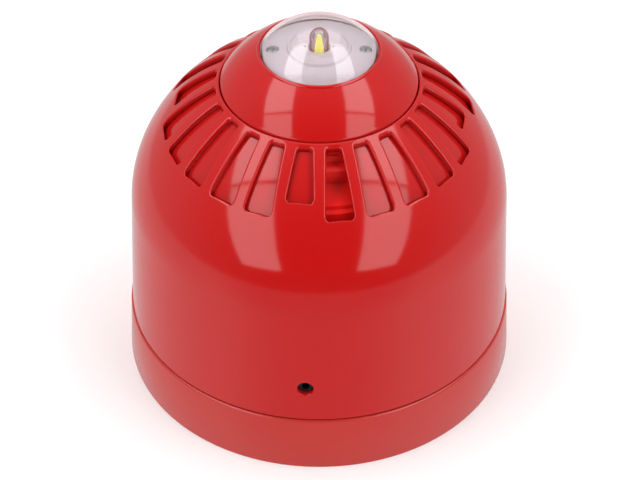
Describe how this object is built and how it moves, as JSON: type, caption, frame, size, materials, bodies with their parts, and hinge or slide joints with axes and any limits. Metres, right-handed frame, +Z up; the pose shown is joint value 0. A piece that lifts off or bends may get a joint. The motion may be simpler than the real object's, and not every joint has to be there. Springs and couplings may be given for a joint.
{
  "type": "horn strobe",
  "caption": "Red ceiling fire alarm sounder with an LED beacon: slotted dome head, clear lens and twist-on round mounting base with screw fixings and a rear cable entry.",
  "frame": {"origin": "centre of the mounting base's flat back face", "axes": "+Z away from the ceiling or wall, along the device's axis through the lens; -Y towards the lock screw; +X to the right seen from the lock screw's side with +Z up"},
  "size_m": [0.1, 0.1, 0.1],
  "materials": {
    "red_plastic": "glossy moulded red ABS",
    "base_red_plastic": "moulded red ABS, a little less glossy",
    "clear_lens": "clear polycarbonate",
    "white_plastic": "glossy white reflector",
    "natural_plastic": "natural white nylon",
    "black_plastic": "black moulded plastic",
    "grey_plastic": "grey terminal plastic",
    "black_rubber": "soft black rubber",
    "foam": "soft foam ring",
    "board": "green solder mask",
    "white_board": "white solder mask",
    "steel": "zinc-plated steel",
    "black_steel": "black oxide steel",
    "brass": "brass sheet",
    "contact_metal": "plated phosphor bronze",
    "copper": "enamelled copper wire",
    "ceramic": "silvered ceramic",
    "ferrite": "dark grey ferrite",
    "capacitor_can": "sleeved aluminium can",
    "led_yellow": "phosphor over a white ceramic package",
    "blue_plastic": "blue switch housing",
    "wire_red": "red PVC insulation",
    "wire_black": "black PVC insulation"
  },
  "bodies": {
    "base": {"mounting_base": "base_red_plastic", "cable_grommet": "black_rubber", "head_seal": "black_rubber", "terminal_block": "grey_plastic", "terminal_screws": "steel", "terminal_clamps": "steel", "contact_springs": "contact_metal"},
    "head": {"head_shell": "red_plastic", "sound_diffuser": "red_plastic", "horn_ring": "red_plastic", "resonator_cup": "black_plastic", "piezo_diaphragm": "brass", "piezo_ceramic": "ceramic", "piezo_gasket": "foam", "chassis_plate": "natural_plastic", "chassis_screws": "steel", "head_contacts": "contact_metal", "main_board": "board", "board_screws": "steel", "inductor_core": "ferrite", "inductor_winding": "copper", "capacitors": "capacitor_can", "controller_chip": "black_plastic", "dip_housing": "blue_plastic", "volume_body": "blue_plastic", "beacon_cap": "red_plastic", "lens": "clear_lens", "lens_seal": "natural_plastic", "lamp_carrier": "natural_plastic", "carrier_screws": "steel", "led_board": "white_board", "led_emitter": "led_yellow", "led_optic": "clear_lens", "reflector": "white_plastic", "reflector_screws": "steel", "led_lead_red": "wire_red", "led_lead_black": "wire_black", "piezo_lead_red": "wire_red", "piezo_lead_black": "wire_black"},
    "lock_screw": {"lock_screw": "black_steel"},
    "volume_rotor": {"volume_rotor": "white_plastic"},
    "dip_slider_1": {"dip_slider_1": "white_plastic"},
    "dip_slider_2": {"dip_slider_2": "white_plastic"},
    "dip_slider_3": {"dip_slider_3": "white_plastic"},
    "dip_slider_4": {"dip_slider_4": "white_plastic"},
    "dip_slider_5": {"dip_slider_5": "white_plastic"},
    "dip_slider_6": {"dip_slider_6": "white_plastic"}
  },
  "joints": [
    {"name": "head_twist", "type": "hinge", "parent": "base", "child": "head", "pos_m": [0, 0, 0.016], "axis": [0, 0, 1], "range_deg": [0, 26]},
    {"name": "lock_screw_travel", "type": "slide", "parent": "head", "child": "lock_screw", "axis": [0.0698, 0.9976, 0], "range_m": [-0.001, 0.0006]},
    {"name": "tone_switch_1", "type": "slide", "parent": "head", "child": "dip_slider_1", "axis": [0, 1, 0], "range_m": [0, 0.002]},
    {"name": "tone_switch_2", "type": "slide", "parent": "head", "child": "dip_slider_2", "axis": [0, 1, 0], "range_m": [0, 0.002]},
    {"name": "tone_switch_3", "type": "slide", "parent": "head", "child": "dip_slider_3", "axis": [0, 1, 0], "range_m": [0, 0.002]},
    {"name": "tone_switch_4", "type": "slide", "parent": "head", "child": "dip_slider_4", "axis": [0, 1, 0], "range_m": [0, 0.002]},
    {"name": "tone_switch_5", "type": "slide", "parent": "head", "child": "dip_slider_5", "axis": [0, 1, 0], "range_m": [0, 0.002]},
    {"name": "tone_switch_6", "type": "slide", "parent": "head", "child": "dip_slider_6", "axis": [0, 1, 0], "range_m": [0, 0.002]},
    {"name": "volume_turn", "type": "hinge", "parent": "head", "child": "volume_rotor", "pos_m": [0.0175, -0.014, 0.03], "axis": [0, 0, -1], "range_deg": [0, 260]}
  ]
}
